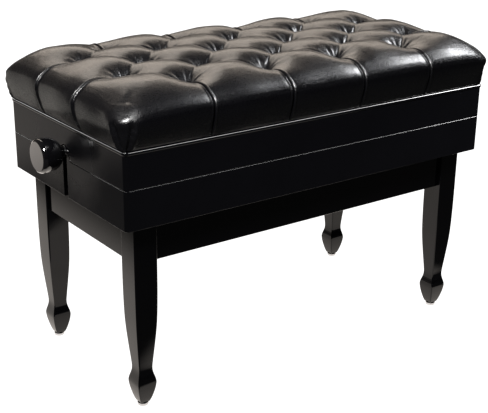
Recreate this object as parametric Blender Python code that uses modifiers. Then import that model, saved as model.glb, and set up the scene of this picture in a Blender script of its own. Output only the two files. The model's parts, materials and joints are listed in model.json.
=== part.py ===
"""Height-adjustable piano bench with a tufted seat and a shallow music tray.

Metres, +Z up, standing on z = 0.  X runs along the length of the seat, the
front is towards -Y and the origin is on the floor under the centre.

How it works: the base frame (legs, aprons, steel rails) stands still and
carries the knob shaft.  The box with its tray, lid and cushion is lifted by a
scissor linkage: turning a knob turns the threaded shaft, the nut bar travels
along it, and the scissor arms open.  The open slots in the box ends let the
box rise past the shaft.  The lid is hinged along the back edge of the box.
"""
import math

import bmesh
import bpy
from mathutils import Matrix, Vector

# ---------------------------------------------------------------- dimensions
LENGTH = 0.745            # seat board and box, along X
DEPTH = 0.381             # seat board and box, along Y
GAP = 0.0003              # between pieces that touch

Z_BOX_BOTTOM = 0.322      # underside of the box
Z_LID_LINE = 0.386        # joint between box and lid
Z_SEAT_TOP = 0.4455       # top of the seat board, where the leather starts
Z_CREST = 0.5358          # tops of the cushion puffs
BOX_WALL = 0.018
LID_WALL = 0.016
SEAT_BOARD = 0.0065
SEAT_BEAD = 0.0012        # the seat board's edge stands out from the lid by this
CORNER_RADIUS = 0.007     # upright corners of box and lid

LEG_X = 0.3277            # leg centres
LEG_Y = 0.1491
LEG_HALF = 0.0204         # half width of the leg at the apron
LEG_TOP = 0.404
GLIDE_TOP = 0.0060
APRON_BOTTOM = 0.254
APRON_WALL = 0.018
APRON_RECESS_FRONT = 0.0075
APRON_RECESS_END = 0.0050

Z_SHAFT = 0.398           # axis of the threaded shaft and the knobs
SHAFT_R = 0.0050
KNOB_R = 0.0280
KNOB_REACH = 0.0477       # knob face, out from the end of the box
SLOT_HALF = 0.0063        # half width of the slot in the box ends
ARCH_R = 0.0158           # arch of the box end around the shaft
ARCH_CENTRE = 0.0067      # height of the arch's centre over the lid line
ARCH_FILLET = 0.0060
LID_CLEAR = 0.0011        # lid notch clear of the arch

ARM = 0.260               # scissor arm, pivot to pivot
ARM_RISE = 0.0348         # height between its pivots with the box down
ARM_HALF = 0.0065
ARM_T = 0.004
Z_PIVOT = 0.366           # fixed lower pivot of the scissor
X_PIVOT = 0.125
PIN_R = 0.0030
HOLE_R = 0.0034
Y_ARM_A = 0.1040
Y_ARM_B = 0.1100
Y_BASE_RAIL = 0.1180
Y_LIFT_RAIL = 0.0980
ROLLER_CLEAR = 0.0046     # half height of the slots in the lift rails

TRAY_FLOOR = 0.4110
TRAY_T = 0.0040
TRAY_TOP = 0.4355

HINGE_X = 0.215           # hinges at +/- this
HINGE_R = 0.0032
HINGE_Y = 0.5 * DEPTH + GAP + HINGE_R

A0 = math.asin(ARM_RISE / ARM)
X_SLIDE = X_PIVOT - ARM * math.cos(A0)
Z_ARM_TOP = Z_PIVOT + ARM_RISE

HX, HY = LENGTH / 2, DEPTH / 2

# ------------------------------------------------------------------- helpers
for old in list(bpy.data.objects):
    bpy.data.objects.remove(old, do_unlink=True)

parts = bpy.data.collections.new("piano_bench")
cutters = bpy.data.collections.new("cutters")
bpy.context.scene.collection.children.link(parts)
bpy.context.scene.collection.children.link(cutters)


def material(name, colour, roughness, metallic, coat=0.0):
    mat = bpy.data.materials.new(name)
    mat.use_nodes = True
    shader = mat.node_tree.nodes["Principled BSDF"]
    shader.inputs["Base Color"].default_value = (*colour, 1.0)
    shader.inputs["Roughness"].default_value = roughness
    shader.inputs["Metallic"].default_value = metallic
    shader.inputs["Coat Weight"].default_value = coat
    return mat


LACQUER = material("black_lacquer", (0.008, 0.008, 0.010), 0.10, 0.0, 1.0)
WOOD = material("bare_wood", (0.42, 0.28, 0.16), 0.60, 0.0)
STEEL = material("black_steel", (0.035, 0.035, 0.038), 0.45, 0.6)
ZINC = material("zinc_steel", (0.62, 0.63, 0.65), 0.30, 1.0)
LEATHER = material("black_leather", (0.012, 0.012, 0.013), 0.38, 0.0)
BRASS = material("hinge_brass", (0.70, 0.52, 0.22), 0.32, 1.0)
KNOB_BLACK = material("knob_black", (0.010, 0.010, 0.012), 0.12, 0.0, 1.0)


def finish(name, mesh, mat, location=(0, 0, 0), rotation=(0, 0, 0), where=None):
    mesh.name = name
    obj = bpy.data.objects.new(name, mesh)
    obj.location = location
    obj.rotation_euler = rotation
    mesh.materials.clear()
    if mat:
        mesh.materials.append(mat)
    (where or parts).objects.link(obj)
    if where is cutters:
        obj.hide_render = True
        obj.display_type = "WIRE"
    return obj


def bevel(obj, width, segments=2, angle=40):
    mod = obj.modifiers.new("edge_rounding", "BEVEL")
    mod.width = width
    mod.segments = segments
    mod.limit_method = "ANGLE"
    mod.angle_limit = math.radians(angle)
    return mod


def cut(obj, tool, operation="DIFFERENCE"):
    mod = obj.modifiers.new(tool.name, "BOOLEAN")
    mod.operation = operation
    mod.object = tool
    mod.solver = "EXACT"
    return mod


def board(name, lo, hi, mat, edge=0.0, where=None):
    """A rectangular board between two corners."""
    bm = bmesh.new()
    bmesh.ops.create_cube(bm, size=1.0)
    size = [h - l for l, h in zip(lo, hi)]
    bmesh.ops.scale(bm, vec=size, verts=bm.verts)
    mesh = bpy.data.meshes.new(name)
    bm.to_mesh(mesh)
    bm.free()
    obj = finish(name, mesh, mat, [(l + h) / 2 for l, h in zip(lo, hi)], where=where)
    if edge:
        bevel(obj, edge)
    return obj


def rod(name, radius, lo, hi, mat, sides=24, where=None):
    """A round bar between two points."""
    lo, hi = Vector(lo), Vector(hi)
    bm = bmesh.new()
    bmesh.ops.create_cone(bm, cap_ends=True, segments=sides, radius1=radius,
                          radius2=radius, depth=(hi - lo).length)
    mesh = bpy.data.meshes.new(name)
    bm.to_mesh(mesh)
    bm.free()
    turn = (hi - lo).to_track_quat("Z", "Y").to_euler()
    return finish(name, mesh, mat, (lo + hi) / 2, turn, where=where)


def turned(name, profile, mat, location=(0, 0, 0), rotation=(0, 0, 0), steps=24,
           ring=False):
    """A turned piece: (radius, height) pairs, from the top down."""
    mesh = bpy.data.meshes.new(name)
    count = len(profile)
    edges = [(i, i + 1) for i in range(count - 1)]
    if ring:
        edges.append((count - 1, 0))
    mesh.from_pydata([(r, 0.0, z) for r, z in profile], edges, [])
    obj = finish(name, mesh, mat, location, rotation)
    mod = obj.modifiers.new("turning", "SCREW")
    mod.axis = "Z"
    mod.steps = steps
    mod.render_steps = steps
    mod.use_merge_vertices = True
    mod.merge_threshold = 0.00005
    mod.use_normal_calculate = False
    return obj


def arc(cx, cy, radius, start, end, count):
    """Points on an arc, in degrees, both ends included."""
    return [(cx + radius * math.cos(math.radians(start + (end - start) * i / count)),
             cy + radius * math.sin(math.radians(start + (end - start) * i / count)))
            for i in range(count + 1)]


def hole(cx, cy, radius, count=20):
    return arc(cx, cy, radius, 0, 360 - 360 / count, count - 1)


def long_hole(x0, x1, cy, half):
    """A slot with round ends, along the first axis."""
    return arc(x1, cy, half, -90, 90, 8) + arc(x0, cy, half, 90, 270, 8)


def plate(name, outlines, thickness, mat, location=(0, 0, 0), rotation=(0, 0, 0)):
    """A flat plate from 2D outlines; the first is its edge, the rest are holes."""
    curve = bpy.data.curves.new(name + "_outline", "CURVE")
    curve.dimensions = "2D"
    curve.fill_mode = "BOTH"
    curve.extrude = thickness / 2
    for outline in outlines:
        spline = curve.splines.new("POLY")
        spline.points.add(len(outline) - 1)
        for point, (x, y) in zip(spline.points, outline):
            point.co = (x, y, 0.0, 1.0)
        spline.use_cyclic_u = True
    drawn = bpy.data.objects.new(name + "_outline", curve)
    bpy.context.scene.collection.objects.link(drawn)
    graph = bpy.context.evaluated_depsgraph_get()
    graph.update()
    mesh = bpy.data.meshes.new_from_object(drawn.evaluated_get(graph))
    bpy.data.objects.remove(drawn, do_unlink=True)
    bm = bmesh.new()
    bm.from_mesh(mesh)
    bmesh.ops.remove_doubles(bm, verts=bm.verts, dist=0.00001)
    bmesh.ops.recalc_face_normals(bm, faces=bm.faces)
    bm.to_mesh(mesh)
    bm.free()
    return finish(name, mesh, mat, location, rotation)


ACROSS = (math.pi / 2, 0, math.pi / 2)   # outline drawn in Y and Z, thick along X
ALONG = (math.pi / 2, 0, 0)              # outline drawn in X and Z, thick along Y
AXIS_X = (0, math.pi / 2, 0)             # a turned piece's height along +X
AXIS_Y = (-math.pi / 2, 0, 0)            # a turned piece's height along +Y

SIDES = (("left", -1), ("right", 1))
FACES = (("front", -1), ("back", 1))
CORNERS = [(f"{fn}_{sn}", sx, sy) for fn, sy in FACES for sn, sx in SIDES]

# ---------------------------------------------------------------------- legs
# Half widths of the square spade-foot leg at each height, from the top down.
LEG_STATIONS = (
    (LEG_TOP, LEG_HALF), (0.254, LEG_HALF), (0.215, 0.0203), (0.181, 0.0199),
    (0.155, 0.0192), (0.136, 0.0181), (0.116, 0.0165), (0.096, 0.0147),
    (0.080, 0.0132), (0.0705, 0.0125), (0.066, 0.0126), (0.060, 0.0136),
    (0.0525, 0.0157), (0.0475, 0.0168), (0.0441, 0.0171), (0.040, 0.0168),
    (0.032, 0.0156), (0.0245, 0.0139), (0.0165, 0.0117), (0.0105, 0.0096),
    (0.0072, 0.0080), (GLIDE_TOP + GAP, 0.0066))
leg_profile = [(0.0, LEG_TOP)] + [(h * math.sqrt(2), z) for z, h in LEG_STATIONS]
leg_profile.append((0.0, GLIDE_TOP + GAP))
glide_profile = [(0.0, GLIDE_TOP), (0.0085, GLIDE_TOP), (0.0092, 0.0050),
                 (0.0092, 0.0030), (0.0082, 0.0010), (0.0065, 0.0), (0.0, 0.0)]

for label, sx, sy in CORNERS:
    leg = turned(f"leg_{label}", leg_profile, LACQUER, (sx * LEG_X, sy * LEG_Y, 0),
                 (0, 0, math.pi / 4), steps=4)
    turned(f"glide_{label}", glide_profile, ZINC, (sx * LEG_X, sy * LEG_Y, 0))
    # bolt through the corner block into the inner corner of the leg
    inner = Vector((sx * (LEG_X - LEG_HALF), sy * (LEG_Y - LEG_HALF), 0.315))
    inward = Vector((-sx, -sy, 0)).normalized()
    bore = rod(f"bore_{label}", 0.0043, inner - inward * 0.0105, inner + inward * 0.08,
               None, 16, where=cutters)
    cut(leg, bore)

# -------------------------------------------------------------------- aprons
APRON_Y = LEG_Y + LEG_HALF - APRON_RECESS_FRONT      # outer face of front, back
APRON_X = LEG_X + LEG_HALF - APRON_RECESS_END        # outer face of the ends
IN_Y = APRON_Y - APRON_WALL
IN_X = APRON_X - APRON_WALL
for face, sy in FACES:
    board(f"apron_{face}",
          (-(LEG_X - LEG_HALF) + GAP, min(sy * APRON_Y, sy * IN_Y), APRON_BOTTOM),
          (LEG_X - LEG_HALF - GAP, max(sy * APRON_Y, sy * IN_Y), LEG_TOP), LACQUER, 0.001)
for side, sx in SIDES:
    span = LEG_Y - LEG_HALF - GAP
    outline = [(-span, APRON_BOTTOM), (span, APRON_BOTTOM), (span, LEG_TOP),
               (0.0078, LEG_TOP)] + arc(0, Z_SHAFT, 0.0078, 0, -180, 10) + \
        [(-0.0078, LEG_TOP), (-span, LEG_TOP)]
    plate(f"apron_{side}", [outline], APRON_WALL, LACQUER,
          (sx * (APRON_X + IN_X) / 2, 0, 0), ACROSS)

# corner blocks: a brace around the inner corner of each leg
for label, sx, sy in CORNERS:
    x1, y1 = IN_X - GAP, IN_Y - GAP
    xl, yl = LEG_X - LEG_HALF - GAP, LEG_Y - LEG_HALF - GAP
    outline = [(x1, yl), (x1, 0.088), (x1 - (y1 - 0.088), y1), (xl, y1), (xl, yl)]
    outline = [(sx * x, sy * y) for x, y in outline]
    block = plate(f"corner_block_{label}", [outline], 0.060, WOOD, (0, 0, 0.315))
    cut(block, bpy.data.objects[f"bore_{label}"])
    # hex bolt with a washer, its head on the block's diagonal face
    face_mid = Vector((sx * (x1 - (y1 - 0.088) / 2), sy * (y1 + 0.088) / 2, 0.315))
    inner = Vector((sx * (LEG_X - LEG_HALF), sy * (LEG_Y - LEG_HALF), 0.315))
    inward = Vector((-sx, -sy, 0)).normalized()
    reach = (face_mid - inner).dot(inward) + GAP
    start = inner + inward * reach
    profile = [(0.0, 0.0085), (0.0062, 0.0085), (0.0070, 0.0075), (0.0070, 0.0018),
               (0.0105, 0.0018), (0.0105, 0.0), (0.0038, 0.0),
               (0.0038, -(reach + 0.009)), (0.0, -(reach + 0.009))]
    turn = inward.to_track_quat("Z", "Y").to_euler()
    turned(f"leg_bolt_{label}", profile, ZINC, start, turn, steps=12)

# ------------------------------------------------- steel base of the mechanism
PIVOT_HOLE = hole(X_PIVOT, Z_PIVOT, HOLE_R)
for face, sy in FACES:
    rail = [(-IN_X + GAP, 0.350), (IN_X - GAP, 0.350), (IN_X - GAP, 0.378),
            (-IN_X + GAP, 0.378)]
    slot = long_hole(X_SLIDE - 0.003, X_SLIDE + 0.030, Z_PIVOT, HOLE_R + 0.0006)
    plate(f"base_rail_{face}", [rail, PIVOT_HOLE, slot], 0.003, STEEL,
          (0, sy * Y_BASE_RAIL, 0), ALONG)
for side, sx in SIDES:
    outline = [(-0.018, 0.374), (0.018, 0.374), (0.018, 0.409), (-0.018, 0.409)]
    plate(f"shaft_bearing_{side}", [outline, hole(0, Z_SHAFT, SHAFT_R + 0.0004)], 0.003,
          STEEL, (sx * (IN_X - GAP - 0.0015), 0, 0), ACROSS)


def pin_profile(half, radius, head_r=0.0050, head=0.0015):
    return [(0.0, half), (head_r, half), (head_r, half - head), (radius, half - head),
            (radius, -half + head), (head_r, -half + head), (head_r, -half), (0.0, -half)]


turned("pivot_shaft", pin_profile(Y_BASE_RAIL + 0.0015 + GAP + 0.0015, PIN_R), ZINC,
       (X_PIVOT, 0, Z_PIVOT), AXIS_Y, steps=16)

# ----------------------------------------------- threaded shaft and its knobs
SHAFT_END = HX + 0.030
thread = []
x = -0.088
while x > -0.160:
    thread += [(SHAFT_R, x), (SHAFT_R - 0.0006, x - 0.0015)]
    x -= 0.003
shaft = [(0.0, SHAFT_END), (SHAFT_R, SHAFT_END)] + thread + [(SHAFT_R, x),
                                                         (SHAFT_R, -SHAFT_END),
                                                         (0.0, -SHAFT_END)]
turned("threaded_shaft", shaft, ZINC, (0, 0, Z_SHAFT), AXIS_X, steps=16)

# Knob, heights measured out from the end of the box; blind bore for the shaft.
bore_r = SHAFT_R + GAP
bore_end = SHAFT_END - HX + GAP
knob_profile = [(0.0, KNOB_REACH), (0.0225, KNOB_REACH), (0.0250, 0.0470),
                (0.0270, 0.0452), (KNOB_R, 0.0425), (KNOB_R, 0.0330), (0.0272, 0.0260),
                (0.0250, 0.0195), (0.0212, 0.0140), (0.0165, 0.0100), (0.0125, 0.0075),
                (0.0105, 0.0050), (0.0100, 0.0030), (bore_r, 0.0030),
                (bore_r, bore_end), (0.0, bore_end)]
for side, sx in SIDES:
    turn = (0, sx * math.pi / 2, 0)
    turned(f"knob_{side}", knob_profile, KNOB_BLACK, (sx * HX, 0, Z_SHAFT), turn, steps=32)

# ------------------------------------------------------------- scissor linkage
def arm_outline(x0, z0, x1, z1):
    lean = math.degrees(math.atan2(z1 - z0, x1 - x0))
    edge = arc(x1, z1, ARM_HALF, lean - 90, lean + 90, 8) + \
        arc(x0, z0, ARM_HALF, lean + 90, lean + 270, 8)
    mid = ((x0 + x1) / 2, (z0 + z1) / 2)
    return [edge, hole(x0, z0, HOLE_R), hole(x1, z1, HOLE_R), hole(*mid, HOLE_R)]


MID = ((X_PIVOT + X_SLIDE) / 2, (Z_PIVOT + Z_ARM_TOP) / 2)
for face, sy in FACES:
    # arm A: fixed pivot at its lower right end, roller at its upper left end
    plate(f"scissor_arm_a_{face}", arm_outline(X_PIVOT, Z_PIVOT, X_SLIDE, Z_ARM_TOP),
          ARM_T, STEEL, (0, sy * Y_ARM_A, 0), ALONG)
    # arm B: nut bar at its lower left end, lifting pin at its upper right end
    plate(f"scissor_arm_b_{face}", arm_outline(X_SLIDE, Z_PIVOT, X_PIVOT, Z_ARM_TOP),
          ARM_T, STEEL, (0, sy * Y_ARM_B, 0), ALONG)
    # centre rivet through both arms
    lo, hi = Y_ARM_A - ARM_T / 2 - GAP - 0.0012, Y_ARM_B + ARM_T / 2 + GAP + 0.0012
    turned(f"centre_pin_{face}", pin_profile((hi - lo) / 2, PIN_R, head=0.0012), ZINC,
           (MID[0], sy * (lo + hi) / 2, MID[1]), AXIS_Y, steps=16)
    # roller pin of arm A, running in the long slot of the lift rail
    lo, hi = Y_LIFT_RAIL - 0.0030, Y_ARM_A + ARM_T / 2 + GAP + 0.0012
    profile = [(0.0, hi), (0.0048, hi), (0.0048, hi - 0.0012), (PIN_R, hi - 0.0012),
               (PIN_R, lo), (0.0, lo)]
    turned(f"roller_pin_{face}", profile, ZINC, (X_SLIDE, 0, Z_ARM_TOP),
           AXIS_Y if sy > 0 else (math.pi / 2, 0, 0), steps=16)
    # lifting pin of arm B, in the round hole of the lift rail
    hi = Y_ARM_B + ARM_T / 2 + GAP + 0.0012
    profile = [(0.0, hi), (0.0048, hi), (0.0048, hi - 0.0012), (PIN_R, hi - 0.0012),
               (PIN_R, lo), (0.0, lo)]
    turned(f"lifting_pin_{face}", profile, ZINC, (X_PIVOT, 0, Z_ARM_TOP),
           AXIS_Y if sy > 0 else (math.pi / 2, 0, 0), steps=16)

# nut bar: cross bar, end pins through the arms into the rail slots, and the nut
bar = board("nut_bar", (X_SLIDE - 0.005, -0.1010, Z_PIVOT - 0.005),
            (X_SLIDE + 0.005, 0.1010, Z_PIVOT + 0.005), STEEL)
pins = rod("nut_bar_pins", PIN_R, (X_SLIDE, -0.1195, Z_PIVOT), (X_SLIDE, 0.1195, Z_PIVOT),
           None, 20, where=cutters)
cut(bar, pins, "UNION")
post = board("nut_bar_post", (X_SLIDE - 0.0078, -0.0105, Z_PIVOT - 0.005),
             (X_SLIDE + 0.0078, 0.0105, Z_SHAFT + 0.0098), None, where=cutters)
cut(bar, post, "UNION")
thread_hole = rod("nut_bar_thread", SHAFT_R + 0.0004, (X_SLIDE - 0.03, 0, Z_SHAFT),
                  (X_SLIDE + 0.03, 0, Z_SHAFT), None, 20, where=cutters)
cut(bar, thread_hole)

# ----------------------------------------------------------- box, lower band
BOX_TOP = Z_LID_LINE - GAP


def arch_points(grow):
    """Arch of the box end over the lid line, right to left, with its fillets."""
    radius = ARCH_R + grow
    # the fillet circle rests on the lid line and touches the arch
    reach = math.sqrt((radius + ARCH_FILLET) ** 2 - (ARCH_CENTRE - ARCH_FILLET) ** 2)
    touch = math.degrees(math.atan2(ARCH_FILLET - ARCH_CENTRE, reach))
    line = Z_LID_LINE
    right = arc(reach, line + ARCH_FILLET, ARCH_FILLET, 270, 180 + touch, 5)
    top = arc(0, line + ARCH_CENTRE, radius, touch, 180 - touch, 20)
    left = arc(-reach, line + ARCH_FILLET, ARCH_FILLET, -touch, -90, 5)
    return right + top[1:-1] + left


for face, sy in FACES:
    panel = board(f"box_{face}", (-HX, min(sy * HY, sy * (HY - BOX_WALL)), Z_BOX_BOTTOM),
                  (HX, max(sy * HY, sy * (HY - BOX_WALL)), BOX_TOP), LACQUER, 0.0018)
for side, sx in SIDES:
    w = HY - BOX_WALL - GAP
    arch = [(y, z - GAP) for y, z in arch_points(0.0)]
    slot = arc(0, Z_SHAFT, SLOT_HALF, 180, 0, 12)
    outline = [(SLOT_HALF, Z_BOX_BOTTOM), (w, Z_BOX_BOTTOM), (w, BOX_TOP)] + arch + \
        [(-w, BOX_TOP), (-w, Z_BOX_BOTTOM), (-SLOT_HALF, Z_BOX_BOTTOM)] + slot
    plate(f"box_end_{side}", [outline], BOX_WALL, LACQUER,
          (sx * (HX - BOX_WALL / 2), 0, 0), ACROSS)

# cleats inside the box carry the tray; they run between the legs
for face, sy in FACES:
    y0, y1 = sy * (HY - BOX_WALL - GAP), sy * (APRON_Y + 0.0008)
    board(f"tray_cleat_{face}", (-0.300, min(y0, y1), 0.345),
          (0.300, max(y0, y1), TRAY_FLOOR - GAP), WOOD)

# music tray: a shallow open box
TX, TY = HX - LID_WALL - 0.0045, HY - LID_WALL - 0.0040
tray = board("music_tray", (-TX, -TY, TRAY_FLOOR), (TX, TY, TRAY_TOP), WOOD)
well = board("tray_well", (-TX + 0.005, -TY + 0.005, TRAY_FLOOR + TRAY_T),
             (TX - 0.005, TY - 0.005, TRAY_TOP + 0.02), None, where=cutters)
cut(tray, well)

# lift rails: steel angles under the tray floor, with the scissor's slots
for face, sy in FACES:
    rail = [(-0.310, 0.3895), (0.310, 0.3895), (0.310, TRAY_FLOOR - GAP),
            (-0.310, TRAY_FLOOR - GAP)]
    slot = long_hole(X_SLIDE - 0.002, X_SLIDE + 0.028, Z_ARM_TOP, ROLLER_CLEAR)
    plate(f"lift_rail_{face}", [rail, slot, hole(X_PIVOT, Z_ARM_TOP, ROLLER_CLEAR)],
          0.003, STEEL, (0, sy * Y_LIFT_RAIL, 0), ALONG)

# ------------------------------------------------------------ lid, upper band
LID_BOTTOM = Z_LID_LINE + GAP
LID_TOP = Z_SEAT_TOP - SEAT_BOARD - GAP
for face, sy in FACES:
    board(f"lid_{face}", (-HX, min(sy * HY, sy * (HY - LID_WALL)), LID_BOTTOM),
          (HX, max(sy * HY, sy * (HY - LID_WALL)), LID_TOP), LACQUER, 0.0018)
for side, sx in SIDES:
    w = HY - LID_WALL - GAP
    arch = [(y, z + GAP) for y, z in arch_points(LID_CLEAR)]
    outline = [(w, LID_TOP), (-w, LID_TOP), (-w, LID_BOTTOM)] + arch[::-1] + \
        [(w, LID_BOTTOM)]
    plate(f"lid_end_{side}", [outline], LID_WALL, LACQUER,
          (sx * (HX - LID_WALL / 2), 0, 0), ACROSS)
board("seat_board", (-HX - SEAT_BEAD, -HY - SEAT_BEAD, Z_SEAT_TOP - SEAT_BOARD),
      (HX + SEAT_BEAD, HY + SEAT_BEAD, Z_SEAT_TOP), LACQUER, 0.0020)

# --------------------------------------------------------------- seat cushion
CUSHION_FLARE = 0.0155
CUSHION_BOTTOM = Z_SEAT_TOP + GAP


def cushion_point(u, v, w):
    """Place a point of the unit cube (-1..1) on the plain cushion."""
    t = (w + 1) / 2
    flare = CUSHION_FLARE * math.sin(math.pi * (0.04 + 0.96 * t) ** 1.1) - 0.012 * t ** 4
    a = HX + flare
    b = HY + flare
    r = 0.012 + 0.014 * t
    x, y = u * a, v * b
    dx, dy = abs(x) - (a - r), abs(y) - (b - r)
    if dx > 0 and dy > 0:
        k = max(dx, dy) / math.hypot(dx, dy)
        x = math.copysign(a - r + dx * k, x)
        y = math.copysign(b - r + dy * k, y)
    edge = max(abs(u), abs(v))
    crown = 0.0170 * (1 - edge ** 4)
    side_top = Z_CREST - 0.0170
    # the corners are lower than the middle of the sides
    droop = 0.014 * math.exp(-math.hypot(HX * (1 - abs(u)), HY * (1 - abs(v))) / 0.035)
    z = CUSHION_BOTTOM + t * (side_top - droop - CUSHION_BOTTOM)
    if w > 0.999:
        z += crown
    return x, y, z


bm = bmesh.new()
bmesh.ops.create_cube(bm, size=2.0)
bmesh.ops.subdivide_edges(bm, edges=list(bm.edges), cuts=9, use_grid_fill=True)
for vert in bm.verts:
    vert.co = cushion_point(*vert.co)
mesh = bpy.data.meshes.new("cushion")
bm.to_mesh(mesh)
bm.free()
mesh.shade_smooth()
finish("cushion", mesh, LEATHER)

# -------------------------------------------------------------------- hinges
# Butt hinges on the back faces: the box leaf holds the pin and two knuckles,
# the lid leaf has the middle knuckle.
LEAF = 0.0013
for side, sx in SIDES:
    cx = sx * HINGE_X
    y0 = HY + GAP
    leaf = board(f"hinge_box_{side}", (cx - 0.030, y0, Z_LID_LINE - 0.022),
                 (cx + 0.030, y0 + LEAF, Z_LID_LINE - 0.0010), BRASS)
    clear = board(f"leaf_relief_box_{side}", (cx - 0.0105, y0 - 0.001, Z_LID_LINE - 0.0042),
                  (cx + 0.0105, y0 + LEAF + 0.001, Z_LID_LINE + 0.001), None, where=cutters)
    cut(leaf, clear)
    for k, (a, b) in enumerate(((-0.030, -0.0105), (0.0105, 0.030))):
        knuckle = rod(f"box_knuckle_{side}_{k}", HINGE_R, (cx + a, HINGE_Y, Z_LID_LINE),
                      (cx + b, HINGE_Y, Z_LID_LINE), None, 16, where=cutters)
        cut(leaf, knuckle, "UNION")
    pin = rod(f"hinge_pin_{side}", 0.0014, (cx - 0.031, HINGE_Y, Z_LID_LINE),
              (cx + 0.031, HINGE_Y, Z_LID_LINE), None, 16, where=cutters)
    cut(leaf, pin, "UNION")

    leaf = board(f"hinge_lid_{side}", (cx - 0.030, y0, Z_LID_LINE + 0.0010),
                 (cx + 0.030, y0 + LEAF, Z_LID_LINE + 0.022), BRASS)
    for k, s in enumerate((-1, 1)):
        clear = board(f"leaf_relief_lid_{side}_{k}",
                      (cx + s * 0.0203 - 0.0101, y0 - 0.001, Z_LID_LINE - 0.001),
                      (cx + s * 0.0203 + 0.0101, y0 + LEAF + 0.001, Z_LID_LINE + 0.0042),
                      None, where=cutters)
        cut(leaf, clear)
    knuckle = rod(f"lid_knuckle_{side}", HINGE_R, (cx - 0.0100, HINGE_Y, Z_LID_LINE),
                  (cx + 0.0100, HINGE_Y, Z_LID_LINE), None, 16, where=cutters)
    cut(leaf, knuckle, "UNION")
    eye = rod(f"lid_eye_{side}", 0.0018, (cx - 0.012, HINGE_Y, Z_LID_LINE),
              (cx + 0.012, HINGE_Y, Z_LID_LINE), None, 16, where=cutters)
    cut(leaf, eye)

for obj in parts.objects:
    obj.data.shade_smooth()
    obj.data.set_sharp_from_angle(angle=math.radians(35))
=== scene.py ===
"""Looks of the piano bench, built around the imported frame."""
import json
import math

import bmesh
import bpy
import numpy as np
from mathutils import Matrix, Vector


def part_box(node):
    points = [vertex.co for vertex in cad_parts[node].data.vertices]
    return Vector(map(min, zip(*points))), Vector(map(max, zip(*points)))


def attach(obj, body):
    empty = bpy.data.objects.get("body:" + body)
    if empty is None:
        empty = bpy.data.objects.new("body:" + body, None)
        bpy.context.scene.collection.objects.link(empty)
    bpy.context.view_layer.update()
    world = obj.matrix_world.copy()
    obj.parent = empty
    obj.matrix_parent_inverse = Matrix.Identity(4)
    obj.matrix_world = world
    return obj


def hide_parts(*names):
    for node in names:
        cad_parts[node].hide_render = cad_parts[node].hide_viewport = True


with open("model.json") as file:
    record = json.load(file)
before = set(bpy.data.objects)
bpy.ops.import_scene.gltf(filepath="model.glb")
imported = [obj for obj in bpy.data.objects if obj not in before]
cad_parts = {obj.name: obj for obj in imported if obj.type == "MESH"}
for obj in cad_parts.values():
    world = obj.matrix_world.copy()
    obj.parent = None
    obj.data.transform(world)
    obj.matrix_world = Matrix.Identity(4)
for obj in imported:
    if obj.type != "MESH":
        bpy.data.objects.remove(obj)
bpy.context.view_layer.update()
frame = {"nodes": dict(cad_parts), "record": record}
scene = bpy.context.scene

# ------------------------------------------------------------ places from CAD
board_lo, board_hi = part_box("seat_board")
box_lo, box_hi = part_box("box_front")
lid_lo, lid_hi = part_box("lid_front")
cush_lo, cush_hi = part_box("cushion")
leg_lo, leg_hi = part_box("leg_front_left")
shaft_lo, shaft_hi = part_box("threaded_shaft")
HX = box_hi.x
HY = -box_lo.y
BX, BY = board_hi.x, board_hi.y
Z_SEAT = board_hi.z
Z_BOX = box_lo.z
Z_LINE = (box_hi.z + lid_lo.z) / 2
Z_LID_TOP = lid_hi.z
Z_BOARD = board_lo.z
Z_SHAFT = (shaft_lo.z + shaft_hi.z) / 2
GAP = 0.0003
ZF = Z_SEAT + 0.0003          # underside of the leather


# ------------------------------------------------------------------ materials
def new_material(name):
    mat = bpy.data.materials.new(name)
    mat.use_nodes = True
    tree = mat.node_tree
    shader = tree.nodes["Principled BSDF"]
    return mat, tree, shader


def node(tree, kind, **values):
    made = tree.nodes.new(kind)
    for key, value in values.items():
        if key in made.inputs:
            made.inputs[key].default_value = value
        else:
            setattr(made, key, value)
    return made


def ramp(tree, source, low, high, out_low, out_high):
    made = tree.nodes.new("ShaderNodeMapRange")
    made.inputs["From Min"].default_value = low
    made.inputs["From Max"].default_value = high
    made.inputs["To Min"].default_value = out_low
    made.inputs["To Max"].default_value = out_high
    tree.links.new(source, made.inputs["Value"])
    return made.outputs["Result"]


def mixed(tree, factor, a, b):
    made = tree.nodes.new("ShaderNodeMix")
    made.data_type = "RGBA"
    made.inputs["A"].default_value = (*a, 1)
    made.inputs["B"].default_value = (*b, 1)
    tree.links.new(factor, made.inputs["Factor"])
    return made.outputs["Result"]


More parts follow.
